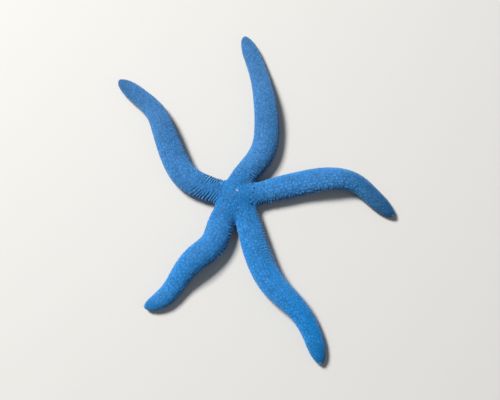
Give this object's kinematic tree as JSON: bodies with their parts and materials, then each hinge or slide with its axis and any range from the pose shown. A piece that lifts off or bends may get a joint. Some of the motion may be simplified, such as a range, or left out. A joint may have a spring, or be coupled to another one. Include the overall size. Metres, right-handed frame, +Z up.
{
  "type": "blue linckia sea star",
  "caption": "Life-size still model of a blue sea star with long rounded bent arms, low raised plates above and furrows of tube feet below, lying on its underside.",
  "frame": {"origin": "on the floor, under the middle of the star's outline seen from above", "axes": "+X to the picture's right, +Y to the picture's top and along the greatest span, +Z up from the floor, out of the star's upper side"},
  "size_m": [0.2265, 0.2715, 0.0207],
  "materials": {
    "blue_skin": "matt, finely granular",
    "sieve_blue": "matt, finely grooved"
  },
  "bodies": {
    "root": {"disc": "blue_skin", "sieve_plate": "sieve_blue", "arm_right_root": "blue_skin", "arm_right_middle": "blue_skin", "arm_right_tip": "blue_skin", "arm_top_root": "blue_skin", "arm_top_middle": "blue_skin", "arm_top_tip": "blue_skin", "arm_upper_left_root": "blue_skin", "arm_upper_left_middle": "blue_skin", "arm_upper_left_tip": "blue_skin", "arm_lower_left_root": "blue_skin", "arm_lower_left_middle": "blue_skin", "arm_lower_left_tip": "blue_skin", "arm_lower_right_root": "blue_skin", "arm_lower_right_middle": "blue_skin", "arm_lower_right_tip": "blue_skin"}
  },
  "joints": []
}
